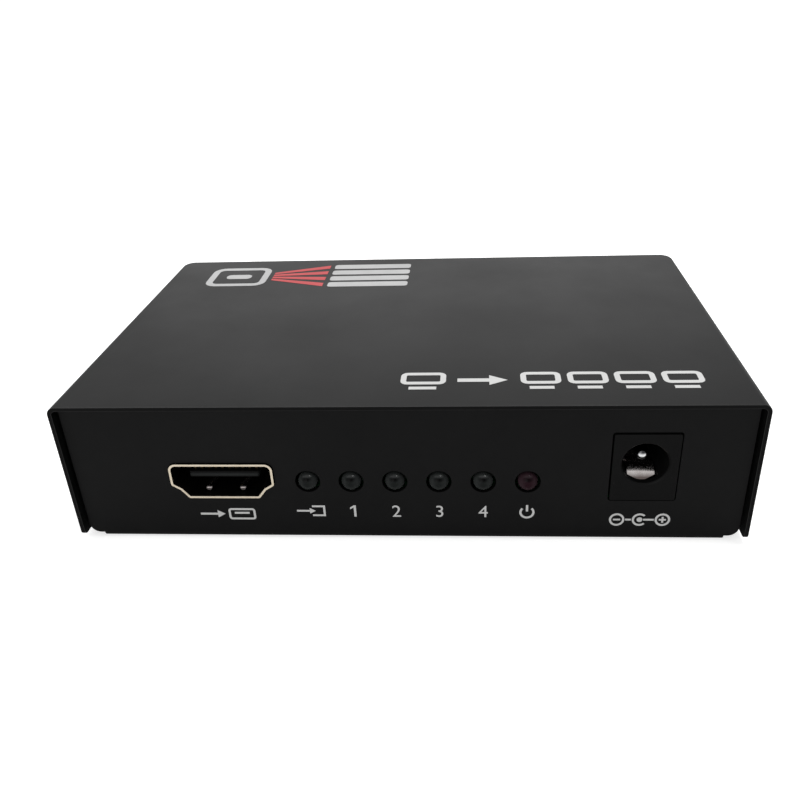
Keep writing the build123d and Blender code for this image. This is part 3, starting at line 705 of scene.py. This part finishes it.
# The tray's rounded edges take the darker paint of painted shade
tray = dressed(
    "bottom_tray",
    "painted_tray",
    fold_edge,
    [black_paint, edge_painted_shade],
    edge_slot=1,
)
screws = dressed("cover_screws", "side_screws", screw_edge, [black_oxide])
jack = dressed(
    "power_jack_body", "jack_moulding", moulding_edge, [black_moulding]
)
for piece in (tray, screws, jack):
    even_normals(piece)


# Sockets
rim_depth = 0.12 * MM
finger_spread = 2.5 * MM
wedge_half_width = 0.6 * MM
wedge_reach = 5.3 * MM
wedge_left = 0.03 * MM
finger_thickness = 0.12 * MM
tip_height = 0.62 * MM
tip_depth = 1.9 * MM
# A finger's run to its tip, in millimetres: depth behind the mouth, height over the floor, width
finger_profile = [
    (5.2, -0.05, 1.0),
    (3.8, 0.36, 1.0),
    (2.6, 0.72, 1.0),
    (1.9, 0.86, 1.0),
    (1.5, 0.8, 1.0),
    (1.28, 0.62, 0.94),
    (1.24, 0.4, 0.7),
    (1.36, 0.18, 0.34),
]


def dress_port(port):
    """A socket's sleeve, gold on the rim and dark inside with painted shade, with crowned fingers
    for its wedges.
    """
    low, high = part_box(f"{port}_shell")
    mouth_y = low.y if low.y < 0 else high.y
    centre_x = (low.x + high.x) / 2
    sleeve = dressed(
        f"{port}_shell",
        f"{port}_sleeve",
        plate_edge,
        [gold_rim, sleeve_painted_shade],
    )
    for vertex in sleeve.data.vertices:
        depth = abs(vertex.co.y - mouth_y)
        from_finger = abs(abs(vertex.co.x - centre_x) - finger_spread)
        over_floor = vertex.co.z - port_floor_z
        if depth < wedge_reach and from_finger < wedge_half_width and wedge_left < over_floor < MM:
            vertex.co.z = port_floor_z + wedge_left
    # Past the rim, the plating inside takes painted shade
    for face in sleeve.data.polygons:
        if abs(face.center.y - mouth_y) > rim_depth:
            face.material_index = 1
    even_normals(sleeve)
    for side in (-1, 1):
        lay_finger(port, Vector((centre_x + side * finger_spread, mouth_y, port_floor_z)), side)


def make_finger():
    """A sprung strip that rises from inside towards the mouth, at y = 0, and curls down there."""
    deselect_all()
    (root_depth, root_height, root_width), (next_depth, next_height, _) = finger_profile[:2]
    middle = (0, (root_depth + next_depth) / 2 * MM, root_height * MM)
    bpy.ops.mesh.primitive_plane_add(size=MM, location=middle)
    piece = bpy.context.object
    settle(piece)
    bpy.ops.object.mode_set(mode="EDIT")
    bpy.ops.transform.resize(
        value=(root_width, root_depth - next_depth, 1), center_override=middle
    )
    bpy.ops.mesh.select_mode(type="EDGE")
    bpy.ops.object.mode_set(mode="OBJECT")
    for item in (*piece.data.polygons, *piece.data.edges, *piece.data.vertices):
        item.select = False
    for edge in piece.data.edges:
        ends = [piece.data.vertices[index] for index in edge.vertices]
        edge.select = all(end.co.y < middle[1] for end in ends)
    bpy.ops.object.mode_set(mode="EDIT")
    bpy.ops.transform.translate(value=(0, 0, (next_height - root_height) * MM))
    for near, far in zip(finger_profile[1:], finger_profile[2:]):
        run = (0, (far[0] - near[0]) * MM, (far[1] - near[1]) * MM)
        end = (0, far[0] * MM, far[1] * MM)
        bpy.ops.mesh.extrude_region_move(TRANSFORM_OT_translate={"value": run})
        bpy.ops.transform.resize(value=(far[2] / near[2], 1, 1), center_override=end)
    bpy.ops.mesh.select_all(action="SELECT")
    bpy.ops.mesh.normals_make_consistent(inside=False)
    bpy.ops.object.mode_set(mode="OBJECT")
    wall = piece.modifiers.new("wall", "SOLIDIFY")
    wall.thickness = finger_thickness
    wall.offset = 0.0
    bpy.ops.object.modifier_apply(modifier=wall.name)
    smooth = piece.modifiers.new("smooth", "SUBSURF")
    smooth.levels = 2
    smooth.render_levels = 2
    bpy.ops.object.modifier_apply(modifier=smooth.name)
    bpy.ops.object.shade_smooth()
    give_materials(piece, finger_plate, finger_tip_painted_reflection)
    # The lower face of each tip takes the matt grey of painted reflection
    for face in piece.data.polygons:
        if face.center.y < tip_depth and face.center.z < tip_height:
            face.material_index = 1
    return piece


finger_pattern = make_finger()


def lay_finger(port, place, side):
    """A copy of the finger at its place on a socket's floor, pointing to that socket's mouth."""
    label = "left" if side < 0 else "right"
    piece = bpy.data.objects.new(f"{port}_finger_{label}", finger_pattern.data.copy())
    bpy.context.scene.collection.objects.link(piece)
    turn = 0 if place.y < 0 else math.radians(180)
    piece.matrix_world = Matrix.Translation(place) @ Matrix.Rotation(turn, 4, "Z")
    settle(piece)
    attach(piece, BOX)


for port in port_names:
    dress_port(port)
bpy.data.objects.remove(finger_pattern)


# Lamps

def make_lamp(node, material):
    """A domed lens, turned from half a ball and drawn back to its flange."""
    low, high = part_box(node)
    middle = box_middle(node)
    dome_base = low.y + lamp_radius
    deselect_all()
    bpy.ops.mesh.primitive_uv_sphere_add(
        segments=48,
        ring_count=24,
        radius=lamp_radius,
        location=(middle.x, dome_base, middle.z),
        rotation=(math.radians(90), 0, 0),
    )
    piece = bpy.context.object
    piece.name = f"{node}_lens"
    settle(piece)
    bpy.ops.object.mode_set(mode="EDIT")
    bpy.ops.mesh.select_all(action="SELECT")
    bpy.ops.mesh.bisect(
        plane_co=(middle.x, dome_base, middle.z),
        plane_no=(0, 1, 0),
        clear_outer=True,
        threshold=weld_distance,
    )
    bpy.ops.mesh.select_all(action="DESELECT")
    bpy.ops.mesh.select_mode(type="EDGE")
    bpy.ops.mesh.select_non_manifold()
    body_back = high.y - lamp_flange_depth
    widen = lamp_flange_radius / lamp_radius
    body_run = (0, body_back - dome_base, 0)
    flange_run = (0, lamp_flange_depth, 0)
    bpy.ops.mesh.extrude_region_move(TRANSFORM_OT_translate={"value": body_run})
    bpy.ops.mesh.extrude_region_move(TRANSFORM_OT_translate={"value": (0, 0, 0)})
    bpy.ops.transform.resize(
        value=(widen, 1, widen), center_override=(middle.x, body_back, middle.z)
    )
    bpy.ops.mesh.extrude_region_move(TRANSFORM_OT_translate={"value": flange_run})
    bpy.ops.mesh.edge_face_add()
    bpy.ops.mesh.select_all(action="SELECT")
    bpy.ops.mesh.normals_make_consistent(inside=False)
    bpy.ops.object.mode_set(mode="OBJECT")
    bpy.ops.object.shade_smooth_by_angle(angle=lens_smooth_angle)
    give_materials(piece, material)
    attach(piece, BOX)
    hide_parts(node)


for node in lamp_names:
    if node == "led_power":
        make_lamp(node, red_lens)
    else:
        make_lamp(node, green_lens)


# Printed signs: flat strokes drawn in millimetres, given the ink's thickness, then laid on a face
numeral_size = 10.0
corner_segments = 4


def start_sign():
    """An empty mesh, open for strokes."""
    deselect_all()
    sign = bpy.data.objects.new("sign", bpy.data.meshes.new("sign"))
    bpy.context.scene.collection.objects.link(sign)
    activate(sign)
    bpy.ops.object.mode_set(mode="EDIT")
    return sign


def plate(centre, width, height, corner=0.0):
    """A filled rectangle, with round corners where a corner radius is given."""
    place = (centre[0] * MM, centre[1] * MM, 0)
    bpy.ops.mesh.primitive_plane_add(size=MM, location=place)
    bpy.ops.transform.resize(value=(width, height, 1), center_override=place)
    if corner:
        bpy.ops.mesh.bevel(affect="VERTICES", offset=corner * MM, segments=corner_segments)


def bar(start, end, width):
    """A straight stroke between two points, level or upright."""
    run = Vector(end) - Vector(start)
    plate((Vector(start) + Vector(end)) / 2, abs(run.x) or width, abs(run.y) or width)


def ray(sign, start, end, start_width, end_width):
    """A straight stroke rightwards between two heights, with upright ends of two widths."""
    plate(((start[0] + end[0]) / 2, start[1]), end[0] - start[0], start_width)
    bpy.ops.object.mode_set(mode="OBJECT")
    chosen = [vertex for vertex in sign.data.vertices if vertex.select]
    middle = sum(vertex.co.x for vertex in chosen) / len(chosen)
    for vertex in chosen:
        if vertex.co.x > middle:
            side = math.copysign(1, vertex.co.y - start[1] * MM)
            vertex.co.y = (end[1] + side * end_width / 2) * MM
    bpy.ops.object.mode_set(mode="EDIT")


def disc(centre, radius, sides=32, turn=0.0):
    """A filled circle, or with few sides a regular figure."""
    bpy.ops.mesh.primitive_circle_add(
        vertices=sides,
        radius=radius * MM,
        fill_type="NGON",
        location=(centre[0] * MM, centre[1] * MM, 0),
        rotation=(0, 0, math.radians(turn)),
    )


def ring(centre, radius, line):
    """A circle drawn as a line."""
    disc(centre, radius)
    bpy.ops.mesh.inset(thickness=line * MM)
    bpy.ops.mesh.delete(type="FACE")


def open_ring(sign, centre, radius, line, gap_at, gap):
    """A ring with a gap, both given in degrees."""
    ring(centre, radius, line)
    bpy.ops.mesh.select_all(action="DESELECT")
    bpy.ops.object.mode_set(mode="OBJECT")
    for face in sign.data.polygons:
        x = face.center.x / MM - centre[0]
        y = face.center.y / MM - centre[1]
        turn = (math.degrees(math.atan2(y, x)) - gap_at + 180) % 360 - 180
        inside = math.hypot(x, y) < radius and math.hypot(x, y) > radius - line
        face.select = inside and abs(turn) < gap / 2
    bpy.ops.object.mode_set(mode="EDIT")
    bpy.ops.mesh.delete(type="FACE")


def outline_box(centre, width, height, line, corner):
    """A rectangle with round corners, drawn as a line."""
    plate(centre, width, height, corner)
    bpy.ops.mesh.inset(thickness=line * MM)
    bpy.ops.mesh.delete(type="FACE")


def arrow(start, end, width, head):
    """A straight arrow; its head is a triangle of that radius."""
    direction = (Vector(end) - Vector(start)).normalized()
    neck = Vector(end) - direction * head * 1.5
    bar(start, neck, width)
    turn = math.degrees(math.atan2(direction.y, direction.x)) - 90
    disc(Vector(end) - direction * head, head, 3, turn)


def screen(x, width):
    """A small screen over its foot, the foot's middle at x."""
    line = 0.8
    outline_box((x, 3.3), width, 3.6, line, corner=1.0)
    plate((x, line / 2), width * 0.6, line)


face_turns = {
    "top": Matrix.Identity(4),
    "front": Matrix.Rotation(math.radians(90), 4, "X"),
    "rear": Matrix.Rotation(math.radians(180), 4, "Z") @ Matrix.Rotation(math.radians(90), 4, "X"),
}
face_origins = {
    "top": Vector((0, 0, top_z - 2 * print_thickness)),
    "front": Vector((0, front_y + print_thickness, 0)),
    "rear": Vector((0, rear_y - print_thickness, 0)),
}


def lay_sign(sign, name, face, x, height, material):
    """Thicken a sign and lay it on a face, with its own zero at x and at that height or depth."""
    activate(sign)
    thick = sign.modifiers.new("ink", "SOLIDIFY")
    thick.thickness = 2 * print_thickness
    thick.offset = 1.0
    bpy.ops.object.modifier_apply(modifier=thick.name)
    place_sign(sign, name, face, x, height, material)


def place_sign(sign, name, face, x, height, material):
    """Name a finished sign, turn it to its face, and let it ride there."""
    along = Vector((x * MM, height * MM, 0)) if face == "top" else Vector((x * MM, 0, height * MM))
    sign.matrix_world = Matrix.Translation(face_origins[face] + along) @ face_turns[face]
    sign.name = name
    settle(sign)
    give_materials(sign, material)
    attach(sign, BOX)


def numeral(digit, name, face, x, height, tall):
    """A plain printed numeral, centred at x and at that height."""
    if digit == 1:
        numeral_one(name, face, x, height, tall)
        return
    deselect_all()
    bpy.ops.object.text_add()
    text = bpy.context.object
    text.data.body = str(digit)
    text.data.size = numeral_size * MM
    text.data.extrude = print_thickness
    text.data.resolution_u = 6
    bpy.ops.object.convert(target="MESH")
    low = Vector(map(min, *(vertex.co for vertex in text.data.vertices)))
    high = Vector(map(max, *(vertex.co for vertex in text.data.vertices)))
    grow = tall * MM / (high.y - low.y)
    middle = (low + high) / 2
    shift = Matrix.Translation((-middle.x, -middle.y, print_thickness))
    text.data.transform(Matrix.Diagonal((grow, grow, 1, 1)) @ shift)
    place_sign(text, name, face, x, height, label_ink_painted_shade)


def numeral_one(name, face, x, height, tall):
    """A numeral one, drawn as an upright stroke with a flag."""
    line = tall / 6
    sign = start_sign()
    bar((0.6 * line, -tall / 2), (0.6 * line, tall / 2), line)
    ray(sign, (-1.5 * line, 0.23 * tall), (0.1 * line, 0.41 * tall), 0.95 * line, 1.05 * line)
    lay_sign(sign, name, face, x, height, label_ink_painted_shade)


def way_sign(size, side):
    """Strokes of an arrow into an open box at side 1, or out of one at side -1."""
    line = size * 0.16
    half = size / 2
    back = size * 1.1
    arrow_tail, arrow_tip = (-back, size * 0.35) if side > 0 else (-size * 0.35, back)
    arrow((arrow_tail, 0), (arrow_tip, 0), line, head=size * 0.3)
    mouth_x = side * size * 0.1
    wall_x = side * (back - line / 2)
    bar((mouth_x, half - line / 2), (side * back, half - line / 2), line)
    bar((mouth_x, line / 2 - half), (side * back, line / 2 - half), line)
    bar((wall_x, line - half), (wall_x, half - line), line)


# Signs on the front panel, in millimetres
input_x = middle_x("input_port_shell")
lamp_xs = [box_middle(node).x / MM for node in lamp_names]
jack_x = middle_x("power_jack_body")
input_sign_height = 4.35
lamp_sign_height = 4.95
lamp_numeral_tall = 1.98
jack_sign_height = 3.65
way_sign_size = 1.9
label_line = 0.32
label_radius = 1.08

sign = start_sign()
outline_box((2.1, 0), width=4.0, height=2.0, line=label_line, corner=0.45)
plate((2.1, 0.18), width=2.2, height=0.34)
arrow((-4.1, 0), (-0.4, 0), width=0.34, head=0.75)
lay_sign(sign, "input_sign", "front", input_x, input_sign_height, label_ink_painted_shade)
sign = start_sign()
way_sign(way_sign_size, 1)
lay_sign(sign, "lamp_in_sign", "front", lamp_xs[0], lamp_sign_height, label_ink_painted_shade)
for digit in range(1, 5):
    name = f"lamp_numeral_{digit}"
    numeral(digit, name, "front", lamp_xs[digit], lamp_sign_height, lamp_numeral_tall)
sign = start_sign()
open_ring(sign, (0, -0.1), label_radius, label_line, gap_at=90, gap=80)
bar((0, 0.05), (0, 1.15), label_line)
lay_sign(sign, "lamp_power_sign", "front", lamp_xs[5], lamp_sign_height, label_ink_painted_shade)

# The jack's sign: minus to the open ring of the sleeve, plus to the dot of the pin
mark_x = 3.2
mark_half = 0.5
mark_line = 0.28
polarity_line = 0.3
sign = start_sign()
for side in (-1, 1):
    ring((mark_x * side, 0), label_radius, polarity_line)
    bar((mark_x * side - mark_half, 0), (mark_x * side + mark_half, 0), mark_line)
for side in (-1, 1):
    bar((mark_x, mark_line / 2 * side), (mark_x, mark_half * side), mark_line)
bar((-2.0, 0), (-1.2, 0), polarity_line)
open_ring(sign, (0, 0), label_radius, polarity_line, gap_at=0, gap=80)
disc((0, 0), 0.4)
bar((0.5, 0), (2.0, 0), polarity_line)
lay_sign(sign, "polarity_sign", "front", jack_x, jack_sign_height, label_ink_painted_shade)

# Signs on the rear panel: a numeral and a way out side by side under each socket
rear_sign_height = 4.4
rear_sign_shift = 1.8
rear_numeral_tall = 2.2
for digit in range(1, 5):
    port_x = middle_x(f"output_port_{digit}_shell")
    numeral_x = port_x - rear_sign_shift
    name = f"output_numeral_{digit}"
    numeral(digit, name, "rear", numeral_x, rear_sign_height, rear_numeral_tall)
    sign = start_sign()
    way_sign(way_sign_size, -1)
    sign_x = port_x + rear_sign_shift
    lay_sign(sign, f"output_sign_{digit}", "rear", sign_x, rear_sign_height, label_ink_painted_shade)

# Legend at the front right of the top: one screen, an arrow, four screens
legend_start = (-0.3, -25.4)
large_screen_width = 6.4
small_screen_width = 5.6
small_screen_x = 19.6
small_screen_pitch = 6.5
legend_arrow_height = 2.7
sign = start_sign()
screen(large_screen_width / 2, large_screen_width)
arrow((8.0, legend_arrow_height), (15.0, legend_arrow_height), width=1.0, head=1.7)
for index in range(4):
    screen(small_screen_x + small_screen_pitch * index, small_screen_width)
lay_sign(sign, "top_legend", "top", *legend_start, white_ink)

# Badge at the rear left of the top: one socket, and four lines that fan out from it to four bars
badge_start = (-40.4, 14.9)
socket_middle = (5.7, 6.3)
badge_rows = [1.5, 4.7, 7.9, 11.1]
fan_start_x = 12.3
fan_start_step = 1.1
fan_end_x = 22.6
bar_middle_x = 30.9
sign = start_sign()
outline_box(socket_middle, width=11.4, height=9.8, line=1.25, corner=2.2)
plate(socket_middle, width=4.8, height=2.2, corner=0.9)
for row in badge_rows:
    plate((bar_middle_x, row), width=14.8, height=2.3, corner=0.6)
lay_sign(sign, "top_badge", "top", *badge_start, silver_ink)
sign = start_sign()
for index, row in enumerate(badge_rows):
    fan_start = (fan_start_x, socket_middle[1] + fan_start_step * (index - 1.5))
    ray(sign, fan_start, (fan_end_x, row), start_width=0.8, end_width=1.7)
lay_sign(sign, "top_badge_lines", "top", *badge_start, red_ink)


# Floor, light and camera

floor_size = 12.0
floor_drop = 0.05 * MM
floor_lift = 0.6
grey_light = 0.55


def make_floor():
    """A plain pale floor that looks white to the camera and still takes the shadow."""
    deselect_all()
    bpy.ops.mesh.primitive_plane_add(size=floor_size, location=(0, 0, -floor_drop))
    floor = bpy.context.object
    floor.name = "floor"
    material, tree, shader = new_material("pale_floor")
    shader.inputs["Base Color"].default_value = (0.8, 0.8, 0.8, 1)
    shader.inputs["Roughness"].default_value = 0.9
    shader.inputs["Specular IOR Level"].default_value = 0.1
    shader.inputs["Emission Color"].default_value = (1, 1, 1, 1)
    path = tree.nodes.new("ShaderNodeLightPath")
    lift = compute(tree, "MULTIPLY", path.outputs["Is Camera Ray"], floor_lift)
    tree.links.new(lift, shader.inputs["Emission Strength"])
    give_materials(floor, material)


def make_world():
    """A white surround for the camera, for reflections and through glass, and a soft grey light."""
    world = bpy.data.worlds.new("surround")
    bpy.context.scene.world = world
    world.use_nodes = True
    tree = world.node_tree
    path = tree.nodes.new("ShaderNodeLightPath")
    seen = compute(tree, "MAXIMUM", path.outputs["Is Camera Ray"], path.outputs["Is Glossy Ray"])
    seen = compute(tree, "MAXIMUM", seen, path.outputs["Is Transmission Ray"])
    background = tree.nodes["Background"]
    background.inputs["Color"].default_value = (1, 1, 1, 1)
    strength = remap(tree, seen, low=0.0, high=1.0, to_low=grey_light, to_high=1.0)
    tree.links.new(strength, background.inputs["Strength"])


def add_light(name, place, width, depth, power):
    """A soft light aimed at the middle of the part's base, its width level from left to right."""
    deselect_all()
    bpy.ops.object.light_add(type="AREA", location=place)
    light = bpy.context.object
    light.name = name
    light.data.shape = "RECTANGLE"
    light.data.size = width
    light.data.size_y = depth
    light.data.energy = power
    light.rotation_euler = (-Vector(place)).to_track_quat("-Z", "Y").to_euler()


def make_camera():
    """The photograph's camera: a little right of the middle, looking down from in front."""
    place = (10.104 * MM, -123.205 * MM, 74.224 * MM)
    pitch = math.radians(28.468)
    turn_left = math.radians(4.421)
    roll = math.radians(-2.395)
    deselect_all()
    bpy.ops.object.camera_add()
    camera = bpy.context.object
    camera.data.sensor_width = 36.0
    camera.data.lens = 36.25
    camera.data.shift_x = -0.025
    camera.data.clip_start = 0.005
    camera.matrix_world = (
        Matrix.Translation(place)
        @ Matrix.Rotation(turn_left, 4, "Z")
        @ Matrix.Rotation(math.radians(90) - pitch, 4, "X")
        @ Matrix.Rotation(roll, 4, "Z")
    )
    bpy.context.scene.camera = camera


make_floor()
make_world()
add_light("overhead_softbox", (0.1, 0.07, 0.6), width=0.5, depth=0.12, power=2.05)
add_light("rear_softbox", (-0.05, 0.8, 0.36), width=0.7, depth=0.7, power=0.96)
add_light("front_softbox", (-0.3, -0.8, 0.35), width=0.5, depth=0.5, power=2.4)
make_camera()
bpy.context.scene.view_settings.view_transform = "Standard"
